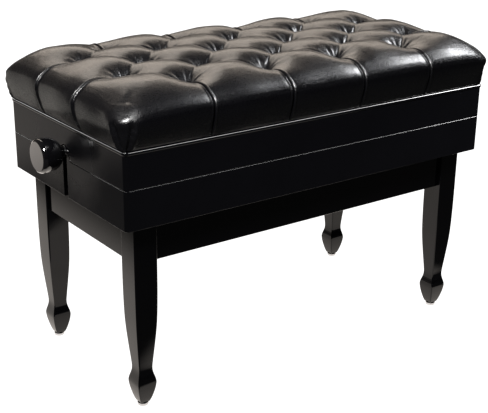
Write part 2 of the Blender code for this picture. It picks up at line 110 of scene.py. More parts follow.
def lacquer_material(name, colour, roughness=0.08, coat=0.0, haze=0.0):
    mat, tree, shader = new_material(name)
    coord = node(tree, "ShaderNodeTexCoord")
    cloud = node(tree, "ShaderNodeTexNoise", Scale=9.0, Detail=4.0, Roughness=0.6)
    tree.links.new(coord.outputs["Object"], cloud.inputs["Vector"])
    tint = mixed(tree, cloud.outputs["Fac"], [c * 0.7 for c in colour],
                 [c * 1.35 for c in colour])
    tree.links.new(tint, shader.inputs["Base Color"])
    fine = node(tree, "ShaderNodeTexNoise", Scale=55.0, Detail=6.0, Roughness=0.7)
    tree.links.new(coord.outputs["Object"], fine.inputs["Vector"])
    rough = ramp(tree, fine.outputs["Fac"], 0.3, 0.7, roughness * 0.75, roughness * 1.4)
    if haze:
        # the gloss is lowered on the flat ends near the knobs, which keeps the knobs' mirror image faint
        fold = node(tree, "ShaderNodeVectorMath", operation="ABSOLUTE")
        tree.links.new(coord.outputs["Object"], fold.inputs[0])
        near = node(tree, "ShaderNodeVectorMath", operation="DISTANCE")
        tree.links.new(fold.outputs["Vector"], near.inputs[0])
        near.inputs[1].default_value = (HAND_X, HAND_Y, HAND_Z)
        dull = ramp(tree, near.outputs["Value"], 0.040, 0.105, haze, 0.0)
        # only on the flat face, not on its rounded edges
        facing = node(tree, "ShaderNodeNewGeometry")
        level = node(tree, "ShaderNodeSeparateXYZ")
        tree.links.new(facing.outputs["Normal"], level.inputs["Vector"])
        size = node(tree, "ShaderNodeMath", operation="ABSOLUTE")
        tree.links.new(level.outputs["X"], size.inputs[0])
        flat = ramp(tree, size.outputs["Value"], 0.97, 0.995, 0.0, 1.0)
        on_flat = node(tree, "ShaderNodeMath", operation="MULTIPLY")
        tree.links.new(dull, on_flat.inputs[0])
        tree.links.new(flat, on_flat.inputs[1])
        dull = on_flat.outputs["Value"]
        rough_sum = node(tree, "ShaderNodeMath", operation="ADD")
        tree.links.new(rough, rough_sum.inputs[0])
        tree.links.new(dull, rough_sum.inputs[1])
        rough = rough_sum.outputs["Value"]
    tree.links.new(rough, shader.inputs["Roughness"])
    peel = node(tree, "ShaderNodeTexNoise", Scale=260.0, Detail=2.0)
    tree.links.new(coord.outputs["Object"], peel.inputs["Vector"])
    bump = node(tree, "ShaderNodeBump", Strength=0.10, Distance=0.00012)
    tree.links.new(peel.outputs["Fac"], bump.inputs["Height"])
    tree.links.new(bump.outputs["Normal"], shader.inputs["Normal"])
    shader.inputs["IOR"].default_value = 1.42
    shader.inputs["Coat Weight"].default_value = coat
    shader.inputs["Coat Roughness"].default_value = 0.03
    return mat


def leather_material(name, colour):
    mat, tree, shader = new_material(name)
    coord = node(tree, "ShaderNodeTexCoord")
    cells = node(tree, "ShaderNodeTexVoronoi", Scale=430.0)
    cells.feature = "DISTANCE_TO_EDGE"
    warp = node(tree, "ShaderNodeTexNoise", Scale=300.0, Detail=3.0)
    tree.links.new(coord.outputs["Object"], warp.inputs["Vector"])
    push = node(tree, "ShaderNodeVectorMath", operation="MULTIPLY_ADD")
    push.inputs[1].default_value = (0.0016, 0.0016, 0.0016)
    tree.links.new(warp.outputs["Color"], push.inputs[0])
    tree.links.new(coord.outputs["Object"], push.inputs[2])
    tree.links.new(push.outputs["Vector"], cells.inputs["Vector"])
    grain = ramp(tree, cells.outputs["Distance"], 0.0, 0.16, 0.0, 1.0)
    pores = node(tree, "ShaderNodeTexNoise", Scale=1500.0, Detail=3.0, Roughness=0.6)
    tree.links.new(coord.outputs["Object"], pores.inputs["Vector"])
    folds = node(tree, "ShaderNodeTexNoise", Scale=70.0, Detail=5.0, Roughness=0.62,
                 Distortion=0.9)
    tree.links.new(coord.outputs["Object"], folds.inputs["Vector"])
    b1 = node(tree, "ShaderNodeBump", Strength=0.22, Distance=0.0012)
    tree.links.new(folds.outputs["Fac"], b1.inputs["Height"])
    b2 = node(tree, "ShaderNodeBump", Strength=0.70, Distance=0.00013)
    tree.links.new(grain, b2.inputs["Height"])
    tree.links.new(b1.outputs["Normal"], b2.inputs["Normal"])
    b3 = node(tree, "ShaderNodeBump", Strength=0.30, Distance=0.00008)
    tree.links.new(pores.outputs["Fac"], b3.inputs["Height"])
    tree.links.new(b2.outputs["Normal"], b3.inputs["Normal"])
    tree.links.new(b3.outputs["Normal"], shader.inputs["Normal"])
    tree.links.new(b1.outputs["Normal"], shader.inputs["Coat Normal"])
    cloud = node(tree, "ShaderNodeTexNoise", Scale=14.0, Detail=4.0)
    tree.links.new(coord.outputs["Object"], cloud.inputs["Vector"])
    tint = mixed(tree, cloud.outputs["Fac"], [c * 0.75 for c in colour],
                 [c * 1.3 for c in colour])
    tree.links.new(tint, shader.inputs["Base Color"])
    rough = ramp(tree, cells.outputs["Distance"], 0.0, 0.25, 0.39, 0.27)
    tree.links.new(rough, shader.inputs["Roughness"])
    shader.inputs["IOR"].default_value = 1.52
    shader.inputs["Coat Weight"].default_value = 0.38
    shader.inputs["Coat Roughness"].default_value = 0.20
    return mat


def metal_material(name, colour, roughness, metallic=1.0, scratch=0.25, direction=(1, 1, 14)):
    mat, tree, shader = new_material(name)
    coord = node(tree, "ShaderNodeTexCoord")
    stretch = node(tree, "ShaderNodeMapping")
    stretch.inputs["Scale"].default_value = direction
    tree.links.new(coord.outputs["Object"], stretch.inputs["Vector"])
    lines = node(tree, "ShaderNodeTexNoise", Scale=180.0, Detail=5.0, Roughness=0.7)
    tree.links.new(stretch.outputs["Vector"], lines.inputs["Vector"])
    rough = ramp(tree, lines.outputs["Fac"], 0.25, 0.75, roughness * 0.7, roughness * 1.5)
    tree.links.new(rough, shader.inputs["Roughness"])
    cloud = node(tree, "ShaderNodeTexNoise", Scale=35.0, Detail=4.0)
    tree.links.new(coord.outputs["Object"], cloud.inputs["Vector"])
    tint = mixed(tree, cloud.outputs["Fac"], [c * 0.85 for c in colour], colour)
    tree.links.new(tint, shader.inputs["Base Color"])
    bump = node(tree, "ShaderNodeBump", Strength=scratch, Distance=0.0001)
    tree.links.new(lines.outputs["Fac"], bump.inputs["Height"])
    tree.links.new(bump.outputs["Normal"], shader.inputs["Normal"])
    shader.inputs["Metallic"].default_value = metallic
    return mat


def wood_material(name, dark, light):
    mat, tree, shader = new_material(name)
    coord = node(tree, "ShaderNodeTexCoord")
    stretch = node(tree, "ShaderNodeMapping")
    stretch.inputs["Scale"].default_value = (1.2, 12.0, 12.0)
    tree.links.new(coord.outputs["Object"], stretch.inputs["Vector"])
    rings = node(tree, "ShaderNodeTexNoise", Scale=7.0, Detail=7.0, Roughness=0.62,
                 Distortion=0.6)
    tree.links.new(stretch.outputs["Vector"], rings.inputs["Vector"])
    grain = node(tree, "ShaderNodeTexNoise", Scale=60.0, Detail=5.0, Roughness=0.7)
    tree.links.new(stretch.outputs["Vector"], grain.inputs["Vector"])
    both = node(tree, "ShaderNodeMath", operation="MULTIPLY_ADD")
    both.inputs[1].default_value = 0.35
    tree.links.new(grain.outputs["Fac"], both.inputs[0])
    tree.links.new(rings.outputs["Fac"], both.inputs[2])
    factor = ramp(tree, both.outputs["Value"], 0.35, 0.95, 0.0, 1.0)
    tree.links.new(mixed(tree, factor, dark, light), shader.inputs["Base Color"])
    bump = node(tree, "ShaderNodeBump", Strength=0.3, Distance=0.0003)
    tree.links.new(grain.outputs["Fac"], bump.inputs["Height"])
    tree.links.new(bump.outputs["Normal"], shader.inputs["Normal"])
    rough = ramp(tree, grain.outputs["Fac"], 0.3, 0.7, 0.5, 0.68)
    tree.links.new(rough, shader.inputs["Roughness"])
    return mat


HAND_X, HAND_Y, HAND_Z = 0.3725, 0.040, 0.408
LACQUER = lacquer_material("black_lacquer_fine", (0.0016, 0.0016, 0.0021), haze=0.24)
KNOB = lacquer_material("knob_black_fine", (0.0040, 0.0040, 0.0048), 0.05, 1.0)
LEATHER = leather_material("black_leather_fine", (0.0020, 0.0020, 0.0030))
STEEL = metal_material("black_steel_fine", (0.030, 0.030, 0.033), 0.42, 0.5)
ZINC = metal_material("zinc_steel_fine", (0.63, 0.64, 0.66), 0.28)
BRASS = metal_material("hinge_brass_fine", (0.72, 0.53, 0.22), 0.26)
WOOD = wood_material("bare_wood_fine", (0.28, 0.17, 0.085), (0.52, 0.37, 0.22))

BY_SLOT = {"black_lacquer": LACQUER, "knob_black": KNOB, "black_leather": LEATHER,
           "black_steel": STEEL, "zinc_steel": ZINC, "hinge_brass": BRASS,
           "bare_wood": WOOD}
for part in frame["record"]["subparts"]:
    cad = frame["nodes"][part["node"]]
    cad.data.materials.clear()
    cad.data.materials.append(BY_SLOT[part["material_slot"]])


# --------------------------------------------------------------- mesh helpers
def piece(name, mesh, mat, body, replaces=(), sharp=32):
    obj = bpy.data.objects.new(name, mesh)
    scene.collection.objects.link(obj)
    mesh.materials.clear()
    mesh.materials.append(mat)
    if sharp:
        # flat faces stay optically flat next to their rounded edges
        mesh.shade_smooth()
        mesh.set_sharp_from_angle(angle=math.radians(sharp))
        mod = obj.modifiers.new("flat", "WEIGHTED_NORMAL")
        mod.weight = 100
        mod.keep_sharp = True
        graph = bpy.context.evaluated_depsgraph_get()
        graph.update()
        obj.data = bpy.data.meshes.new_from_object(obj.evaluated_get(graph))
        obj.modifiers.clear()
        bpy.data.meshes.remove(mesh)
    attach(obj, body)
    if replaces:
        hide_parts(*replaces)
    return obj


def mesh_of(name, verts, faces):
    mesh = bpy.data.meshes.new(name)
    mesh.from_pydata([tuple(map(float, v)) for v in verts], [], faces)
    bm = bmesh.new()
    bm.from_mesh(mesh)
    bmesh.ops.recalc_face_normals(bm, faces=bm.faces)
    bm.to_mesh(mesh)
    bm.free()
    return mesh


def applied(obj):
    """The mesh of obj with its modifiers applied; obj is removed."""
    graph = bpy.context.evaluated_depsgraph_get()
    graph.update()
    mesh = bpy.data.meshes.new_from_object(obj.evaluated_get(graph))
    mesh.transform(obj.matrix_world)
    bpy.data.objects.remove(obj, do_unlink=True)
    return mesh


def prism(outline, lo, hi, axis="Z"):
    """A prism over a 2D outline. Z: (x, y) outline. X: (y, z). Y: (x, z)."""
    place = {"Z": lambda a, b, h: (a, b, h), "X": lambda a, b, h: (h, a, b),
             "Y": lambda a, b, h: (a, h, b)}[axis]
    n = len(outline)
    verts = [place(a, b, lo) for a, b in outline] + [place(a, b, hi) for a, b in outline]
    faces = [tuple(range(n))[::-1], tuple(range(n, 2 * n))]
    faces += [(i, (i + 1) % n, n + (i + 1) % n, n + i) for i in range(n)]
    obj = bpy.data.objects.new("tool", mesh_of("tool", verts, faces))
    scene.collection.objects.link(obj)
    return obj


def boolean(obj, tool, operation):
    mod = obj.modifiers.new("b", "BOOLEAN")
    mod.operation = operation
    mod.object = tool
    mod.solver = "EXACT"
    mesh = applied(obj)
    bpy.data.objects.remove(tool, do_unlink=True)
    out = bpy.data.objects.new("work", mesh)
    scene.collection.objects.link(out)
    return out


def arc(cx, cy, radius, start, end, count):
    return [(cx + radius * math.cos(math.radians(start + (end - start) * i / count)),
             cy + radius * math.sin(math.radians(start + (end - start) * i / count)))
            for i in range(count + 1)]


def rounded_rectangle(a, b, r, count=8):
    return (arc(a - r, b - r, r, 0, 90, count) + arc(-a + r, b - r, r, 90, 180, count)
            + arc(-a + r, -b + r, r, 180, 270, count) + arc(a - r, -b + r, r, 270, 360, count))


def beveled(obj, width, segments=4, angle=40):
    bm = bmesh.new()
    bm.from_mesh(obj.data)
    bmesh.ops.remove_doubles(bm, verts=bm.verts, dist=0.00002)
    bmesh.ops.dissolve_limit(bm, angle_limit=math.radians(1.0), verts=bm.verts,
                             edges=bm.edges)
    bm.to_mesh(obj.data)
    bm.free()
    mod = obj.modifiers.new("edges", "BEVEL")
    mod.width = width
    mod.segments = segments
    mod.limit_method = "ANGLE"
    mod.angle_limit = math.radians(angle)
    mod.harden_normals = True
    mod.miter_outer = "MITER_ARC"
    obj.data.shade_smooth()
    return applied(obj)


def fine_board(name, lo, hi, mat, body, replaces=(), edge=0.0012):
    outline = [(lo[0], lo[1]), (hi[0], lo[1]), (hi[0], hi[1]), (lo[0], hi[1])]
    mesh = beveled(prism(outline, lo[2], hi[2]), edge, 3)
    return piece(name, mesh, mat, body, replaces)


def lathe(profile, steps, along="Z", place=(0, 0, 0), sign=1):
    """A turned closed mesh from (radius, height) pairs that start and end on the axis."""
    verts, faces, rows = [], [], []
    for r, h in profile:
        if r < 1e-7:
            rows.append([len(verts)])
            verts.append((0, 0, h))
        else:
            rows.append(list(range(len(verts), len(verts) + steps)))
            verts += [(r * math.cos(2 * math.pi * k / steps),
                       r * math.sin(2 * math.pi * k / steps), h) for k in range(steps)]
    for one, two in zip(rows, rows[1:]):
        for k in range(steps):
            j = (k + 1) % steps
            if len(one) == 1 and len(two) == 1:
                continue
            if len(one) == 1:
                faces.append((one[0], two[k], two[j]))
            elif len(two) == 1:
                faces.append((one[k], two[0], one[j]))
            else:
                faces.append((one[k], two[k], two[j], one[j]))
    if along == "X":
        verts = [(sign * z, x, y) for x, y, z in verts]
    verts = [(x + place[0], y + place[1], z + place[2]) for x, y, z in verts]
    return mesh_of("turned", verts, faces)


def smooth_profile(points, count, tension=0.0):
    """Monotone cubic through (height, value) stations, heights falling."""
    hs = np.array([p[0] for p in points], float)[::-1]
    vs = np.array([p[1] for p in points], float)[::-1]
    d = np.diff(vs) / np.diff(hs)
    m = np.zeros(len(vs))
    m[1:-1] = np.where(d[:-1] * d[1:] > 0, 2 * d[:-1] * d[1:] / (d[:-1] + d[1:] + 1e-12), 0)
    m[0], m[-1] = d[0], d[-1]
    # closer stations where the shape turns
    grid = []
    for i in range(len(hs) - 1):
        k = max(2, int(round(count * (hs[i + 1] - hs[i]) / (hs[-1] - hs[0]))))
        grid += list(np.linspace(hs[i], hs[i + 1], k, endpoint=False))
    grid.append(hs[-1])
    out = []
    for h in grid:
        i = min(max(np.searchsorted(hs, h, side="right") - 1, 0), len(hs) - 2)
        w = hs[i + 1] - hs[i]
        t = (h - hs[i]) / w
        v = ((2 * t ** 3 - 3 * t ** 2 + 1) * vs[i] + (t ** 3 - 2 * t ** 2 + t) * w * m[i]
             + (-2 * t ** 3 + 3 * t ** 2) * vs[i + 1] + (t ** 3 - t ** 2) * w * m[i + 1])
        out.append((h, v))
    return out


# ----------------------------------------------------------------------- legs
LEG_HALF = (leg_hi.x - leg_lo.x) / 2
LEG = ((leg_hi.z, LEG_HALF), (0.254, LEG_HALF), (0.215, 0.0203), (0.181, 0.0199),
       (0.155, 0.0192), (0.136, 0.0181), (0.116, 0.0165), (0.096, 0.0147),
       (0.080, 0.0132), (0.0705, 0.0125), (0.066, 0.0126), (0.060, 0.0136),
       (0.0525, 0.0157), (0.0475, 0.0168), (0.0441, 0.0171), (0.040, 0.0168),
       (0.032, 0.0156), (0.0245, 0.0139), (0.0165, 0.0117), (0.0105, 0.0096),
       (0.0072, 0.0080), (leg_lo.z, 0.0066))


def leg_mesh(cx, cy):
    rows = smooth_profile(LEG, 90)
    verts, faces = [], []
    n = 0
    for h, half in rows:
        r = min(0.0020, half * 0.14)
        ring = rounded_rectangle(half, half, r, 4)
        n = len(ring)
        verts += [(cx + x, cy + y, h) for x, y in ring]
    for i in range(len(rows) - 1):
        for k in range(n):
            j = (k + 1) % n
            faces.append((i * n + k, i * n + j, (i + 1) * n + j, (i + 1) * n + k))
    faces.append(tuple(range(n))[::-1])
    last = (len(rows) - 1) * n
    faces.append(tuple(range(last, last + n)))
    return mesh_of("leg", verts, faces)


for a in ("front", "back"):
    for b in ("left", "right"):
        lo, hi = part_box(f"leg_{a}_{b}")
        cx, cy = (lo.x + hi.x) / 2, (lo.y + hi.y) / 2
        piece(f"leg_{a}_{b}_turned", leg_mesh(cx, cy), LACQUER, "base",
              [f"leg_{a}_{b}"])
        lo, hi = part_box(f"glide_{a}_{b}")
        top = hi.z
        profile = [(0, top), (0.0083, top), (0.0089, top - 0.0003), (0.0092, top - 0.0011)]
        profile += [(r, z) for r, z in arc(0.0062, 0.0030, 0.0030, 0, -90, 8)]
        profile += [(0.0, 0.0)]
        piece(f"glide_{a}_{b}_disc", lathe(profile, 40, place=(cx, cy, 0)), ZINC, "base",
              [f"glide_{a}_{b}"])

# --------------------------------------------------------------------- aprons
for face in ("front", "back"):
    lo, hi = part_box(f"apron_{face}")
    fine_board(f"apron_{face}_board", lo, hi, LACQUER, "base",
               [f"apron_{face}"], 0.0015)
for side in ("left", "right"):
    lo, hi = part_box(f"apron_{side}")
    outline = [(lo.y, lo.z), (hi.y, lo.z), (hi.y, hi.z), (0.0078, hi.z)] + \
        arc(0, Z_SHAFT, 0.0078, 0, -180, 16) + [(-0.0078, hi.z), (lo.y, hi.z)]
    mesh = beveled(prism(outline, lo.x, hi.x, "X"), 0.0010, 3)
    piece(f"apron_{side}_board", mesh, LACQUER, "base", [f"apron_{side}"])

# -------------------------------------------------------------- box and lid
ARCH_R, ARCH_CENTRE, ARCH_FILLET, LID_CLEAR = 0.0158, 0.0067, 0.0060, 0.0011
SLOT_HALF = 0.0063


def arch_points(grow, line):
    radius = ARCH_R + grow
    reach = math.sqrt((radius + ARCH_FILLET) ** 2 - (ARCH_CENTRE - ARCH_FILLET) ** 2)
    touch = math.degrees(math.atan2(ARCH_FILLET - ARCH_CENTRE, reach))
    right = arc(reach, line + ARCH_FILLET, ARCH_FILLET, 270, 180 + touch, 8)
    top = arc(0, line + ARCH_CENTRE, radius, touch, 180 - touch, 36)
    left = arc(-reach, line + ARCH_FILLET, ARCH_FILLET, -touch, -90, 8)
    return right + top[1:-1] + left


CORNER = 0.0070
top_z = box_hi.z
outer = prism(rounded_rectangle(HX, HY, CORNER, 10), Z_BOX, top_z + 0.030)
inner = prism(rounded_rectangle(HX - 0.018, HY - 0.018, 0.001, 2), Z_BOX - 0.05, top_z + 0.08)
ring = boolean(outer, inner, "DIFFERENCE")
above = prism([(0.3, top_z), (0.3, top_z + 0.2), (-0.3, top_z + 0.2), (-0.3, top_z)]
              + arch_points(0.0, top_z)[::-1], -0.6, 0.6, "X")
ring = boolean(ring, above, "DIFFERENCE")
slot_tool = prism([(SLOT_HALF, Z_BOX - 0.02), (SLOT_HALF, Z_SHAFT)]
                  + arc(0, Z_SHAFT, SLOT_HALF, 0, 180, 20)[1:]
                  + [(-SLOT_HALF, Z_BOX - 0.02)], -0.6, 0.6, "X")
ring = boolean(ring, slot_tool, "DIFFERENCE")
piece("box_shell", beveled(ring, 0.0024, 5), LACQUER, "box",
      ["box_front", "box_back", "box_end_left", "box_end_right"])

low_z = lid_lo.z
outer = prism(rounded_rectangle(HX, HY, CORNER, 10), low_z, Z_LID_TOP + 0.01)
inner = prism(rounded_rectangle(HX - 0.016, HY - 0.016, 0.001, 2), low_z - 0.05,
              Z_LID_TOP + 0.05)
ring = boolean(outer, inner, "DIFFERENCE")
arch = arch_points(LID_CLEAR, low_z)
notch = prism([(arch[0][0], low_z - 0.05)] + arch + [(arch[-1][0], low_z - 0.05)],
              -0.6, 0.6, "X")
ring = boolean(ring, notch, "DIFFERENCE")
ring = bpy.data.objects.new("work", beveled(ring, 0.0017, 4))
scene.collection.objects.link(ring)
# the top edge is plain, where the seat board covers it
cover = prism([(-0.5, -0.5), (0.5, -0.5), (0.5, 0.5), (-0.5, 0.5)], Z_LID_TOP, Z_LID_TOP + 0.1)
ring = boolean(ring, cover, "DIFFERENCE")
lid_mesh = ring.data
bpy.data.objects.remove(ring, do_unlink=True)
piece("lid_shell", lid_mesh, LACQUER, "lid",
      ["lid_front", "lid_back", "lid_end_left", "lid_end_right"])

plate = prism(rounded_rectangle(BX, BY, CORNER + 0.001, 10), Z_BOARD, Z_SEAT)
piece("seat_board_edge", beveled(plate, 0.0026, 6), LACQUER, "lid",
      ["seat_board"])

# ---------------------------------------------------------------------- knobs
for side, sx in (("left", -1), ("right", 1)):
    lo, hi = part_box(f"knob_{side}")
    reach = max(abs(lo.x), abs(hi.x)) - HX
    near = min(abs(lo.x), abs(hi.x)) - HX
    kr = (hi.z - lo.z) / 2
    control = [(0.0, reach), (0.0215, reach), (0.0238, reach - 0.0003),
               (0.0256, reach - 0.0014), (0.0270, reach - 0.0032), (kr, reach - 0.0064),
               (kr, reach - 0.0120), (0.0276, reach - 0.0180), (0.0264, reach - 0.0240),
               (0.0240, reach - 0.0300), (0.0205, reach - 0.0345), (0.0165, reach - 0.0378),
               (0.0130, reach - 0.0402), (0.0110, reach - 0.0425), (0.0100, near),
               (0.0053, near)]
    fine = []
    for i in range(len(control) - 1):
        p0 = control[max(i - 1, 0)]
        p1, p2 = control[i], control[i + 1]
        p3 = control[min(i + 2, len(control) - 1)]
        if i in (0, len(control) - 2, len(control) - 3):
            fine.append(p1)
            continue
        for k in range(4):
            t = k / 4
            fine.append(tuple(0.5 * (2 * p1[c] + (p2[c] - p0[c]) * t
                                     + (2 * p0[c] - 5 * p1[c] + 4 * p2[c] - p3[c]) * t * t
                                     + (3 * p1[c] - p0[c] - 3 * p2[c] + p3[c]) * t ** 3)
                              for c in (0, 1)))
    fine.append(control[-1])
    fine = [(min(r, kr), h) for r, h in fine]
    fine += [(0.0053, reach - 0.0180), (0.0, reach - 0.0180)]
    piece(f"knob_{side}_turned",
          lathe(fine, 72, "X", (sx * HX, 0, Z_SHAFT), sx), KNOB, "drive",
          [f"knob_{side}"], sharp=50)

# ------------------------------------------------------------------- cushion
HEIGHT = 0.5380 - ZF            # to the tops of the puffs
PX, PY = HX / 5, HY / 3         # half a pitch of the tufts along X and Y
N = 32                          # cells in each half pitch
ROWS = 32                       # rows of cells down the sides
rng = np.random.default_rng(7)

tufts = []
for j in range(-2, 3):
    for i in range(-4, 5):
        if (i + j) % 2:
            tufts.append((i * PX, j * PY))
tufts = np.array(tufts)
folds = []
for k, (x0, y0) in enumerate(tufts):
    for x1, y1 in tufts[k + 1:]:
        if abs(abs(x1 - x0) - PX) < 1e-6 and abs(abs(y1 - y0) - PY) < 1e-6:
            folds.append((x0, y0, x1, y1))
pleats = []                     # tuft, and the point of the outline it runs to
for x0, y0 in tufts:
    if abs(abs(y0) - 2 * PY) < 1e-6:
        pleats.append((x0, y0, x0, math.copysign(HY, y0)))
    if abs(abs(x0) - 4 * PX) < 1e-6:
        pleats.append((x0, y0, math.copysign(HX, x0), y0))


def outline_map(a, b, r):
    """Square-cornered (a, b) to a rectangle with corners rounded by r."""
    ia, ib = HX - np.abs(a), HY - np.abs(b)
    dx, dy = r - ia, r - ib
    corner = (dx > 0) & (dy > 0)
    m = np.maximum(dx, dy)
    h = np.maximum(np.hypot(dx, dy), 1e-9)
    k = np.where(corner, m / h, 1.0)
    x = np.where(corner, np.sign(a) * (HX - r + dx * k), a)
    y = np.where(corner, np.sign(b) * (HY - r + dy * k), b)
    e = np.where(corner, r - m, np.minimum(ia, ib))
    nx = np.where(corner, np.sign(a) * dx / h, np.where(ia < ib, np.sign(a), 0.0))
    ny = np.where(corner, np.sign(b) * dy / h, np.where(ia < ib, 0.0, np.sign(b)))
    return x, y, e, nx, ny


# cross-section at the edge: (outward offset, height), from the top to the seam
SECTION = np.array([(-0.0660, 0.0962), (-0.0530, 0.0952), (-0.0400, 0.0928),
                    (-0.0280, 0.0888), (-0.0170, 0.0838), (-0.0070, 0.0780),
                    (0.0010, 0.0725), (0.0080, 0.0664), (0.0128, 0.0596),
                    (0.0152, 0.0520), (0.0150, 0.0430), (0.0130, 0.0320),
                    (0.0098, 0.0210), (0.0062, 0.0105), (0.0028, 0.0030),
                    (-0.0005, 0.0000)])
SECTION[:, 1] *= HEIGHT / 0.0965
_steps = np.r_[0, np.cumsum(np.hypot(*np.diff(SECTION, axis=0).T))]


def section(q):
    """Point of the cross-section at a length q along it."""
    fine_q = np.linspace(0, _steps[-1], 600)
    cols = []
    for c in (0, 1):
        line = np.interp(fine_q, _steps, SECTION[:, c])
        kernel = np.hanning(31)
        kernel /= kernel.sum()
        pad = np.r_[2 * line[0] - line[15:0:-1], line, 2 * line[-1] - line[-2:-17:-1]]
        cols.append(np.interp(q, fine_q, np.convolve(pad, kernel, "valid")))
    return cols


def droop(a, b):
    """Share of its height that the cushion loses near its corners."""
    far = np.hypot(HX - np.abs(a), HY - np.abs(b))
    return 0.10 * np.exp(-(far / 0.050) ** 1.2)


Q_EDGE = 0.0740                 # where the top grid ends and the side rows start



def stations(half_pitches, pitch):
    """Grid lines that are close together at each half pitch, where the folds meet."""
    t = np.arange(half_pitches * N + 1) / N
    return (t - 0.66 * np.sin(2 * math.pi * t) / (2 * math.pi) - half_pitches / 2) * pitch


top_a = stations(10, PX)
top_b = stations(6, PY)
A, B = np.meshgrid(top_a, top_b, indexing="ij")


def lay_top(a, b):
    r = 0.034
    x, y, e, nx, ny = outline_map(a, b, r)
    reach = PY
    ma = np.clip(1 - (HX - np.abs(a)) / reach, 0, 1)
    mb = np.clip(1 - (HY - np.abs(b)) / reach, 0, 1)
    plain = np.maximum(ma, mb)
    rounded = np.minimum((ma ** 3 + mb ** 3) ** (1 / 3), 1)
    calm = np.clip((1 - plain) / 0.45, 0, 1)
    rim = plain + (rounded - plain) * calm
    near = rim > 0
    q = rim * Q_EDGE
    o, h = section(q)
    # blend, so that the middle stays where the tufts are
    shift = np.where(near, (o + reach * (1 - rim)) * np.clip(rim * 3, 0, 1), 0.0)
    crown = HEIGHT * 0.012 * (1 - (a / HX) ** 2) * (1 - (b / HY) ** 2)
    z = (np.where(near, h, SECTION[0, 1]) + crown) * (1 - droop(a, b))
    # the ends of an X edge block are longer than a Y one: take the outline direction
    return x + nx * shift, y + ny * shift, z


top_x, top_y, top_z = lay_top(A, B)

# perimeter of the grid, counter-clockwise from the front left corner
ring_ij = [(i, 0) for i in range(10 * N)] + [(10 * N, j) for j in range(6 * N)] + \
    [(i, 6 * N) for i in range(10 * N, 0, -1)] + [(0, j) for j in range(6 * N, 0, -1)]
ring_a = np.array([top_a[i] for i, j in ring_ij])
ring_b = np.array([top_b[j] for i, j in ring_ij])
side = []
for k in range(1, ROWS + 1):
    q = Q_EDGE + (_steps[-1] - Q_EDGE) * k / ROWS
    o, h = section(np.array([q]))
    r = 0.034 + (CORNER - 0.034) * (k / ROWS) ** 1.2
    x, y, e, nx, ny = outline_map(ring_a, ring_b, r)
    side.append((x + nx * o[0], y + ny * o[0], h[0] * (1 - droop(ring_a, ring_b))))

index = -np.ones(A.shape, int)
index[:] = np.arange(A.size).reshape(A.shape)
verts = np.stack([top_x.ravel(), top_y.ravel(), top_z.ravel()], 1)
ring_index = [[index[i, j] for i, j in ring_ij]]
par_a, par_b = [A.ravel()], [B.ravel()]
down = [np.zeros(A.size)]
for k, (x, y, z) in enumerate(side, 1):
    ring_index.append(list(range(len(verts), len(verts) + len(x))))
    verts = np.vstack([verts, np.stack([x, y, z], 1)])
    par_a.append(ring_a)
    par_b.append(ring_b)
    down.append(np.full(len(x), k / ROWS))
par_a, par_b, down = map(np.concatenate, (par_a, par_b, down))

is_tuft = {(round(x / PX), round(y / PY)) for x, y in tufts}
faces = []
for i in range(10 * N):
    for j in range(6 * N):
        bi, bj = i // N - 5, j // N - 3
        p, q, r, s = index[i, j], index[i + 1, j], index[i + 1, j + 1], index[i, j + 1]
        if (bi, bj) in is_tuft and (bi + 1, bj + 1) in is_tuft:
            faces += [(p, q, r), (p, r, s)]
        elif (bi + 1, bj) in is_tuft and (bi, bj + 1) in is_tuft:
            faces += [(p, q, s), (q, r, s)]
        else:
            faces.append((p, q, r, s))
count = len(ring_ij)
for one, two in zip(ring_index, ring_index[1:]):
    for k in range(count):
        j = (k + 1) % count
        faces.append((one[k], two[k], two[j], one[j]))
faces.append(tuple(ring_index[-1]))

base = verts.copy()
base[:, 2] += ZF
mesh = bpy.data.meshes.new("cushion_leather")
mesh.from_pydata(base.tolist(), [], faces)
bm = bmesh.new()
bm.from_mesh(mesh)
bmesh.ops.recalc_face_normals(bm, faces=bm.faces)
bm.to_mesh(mesh)
bm.free()
mesh.update()
normals = np.zeros(len(base) * 3, np.float32)
mesh.vertex_normals.foreach_get("vector", normals)
normals = normals.reshape(-1, 3).astype(float)
normals[ring_index[-1]] *= 0


def along_segment(px, py, seg):
    x0, y0, x1, y1 = seg
    dx, dy = x1 - x0, y1 - y0
    length = math.hypot(dx, dy)
    t = np.clip(((px - x0) * dx + (py - y0) * dy) / length ** 2, 0, 1)
    d = np.hypot(px - (x0 + t * dx), py - (y0 + t * dy))
    side_of = np.sign((px - x0) * dy - (py - y0) * dx)
    return t * length, d, side_of, length


def smoother(t):
    t = np.clip(t, 0, 1)
    return t * t * (3 - 2 * t)


D_TUFT, D_EDGE, D_SEAM = 0.0205, 0.0020, 0.0005
on_top = down == 0
# puffs: high between the tufts, and low at them
in_a = np.minimum(np.abs(par_a), 4 * PX)
in_b = np.minimum(np.abs(par_b), 2 * PY)
out = np.maximum((np.abs(par_a) - 4 * PX) / PX, (np.abs(par_b) - 2 * PY) / PY)
swell = (1 - np.cos(math.pi * in_a / PX) * np.cos(math.pi * in_b / PY)) / 2
fall = D_TUFT + (D_EDGE - D_TUFT) * smoother(out * 1.12 + 0.02)
fall = np.where(on_top, fall, D_SEAM + (D_EDGE - D_SEAM) * (1 - down) ** 1.25)
puff = fall * (0.70 * swell ** 1.45 + 0.30 * swell ** 4)

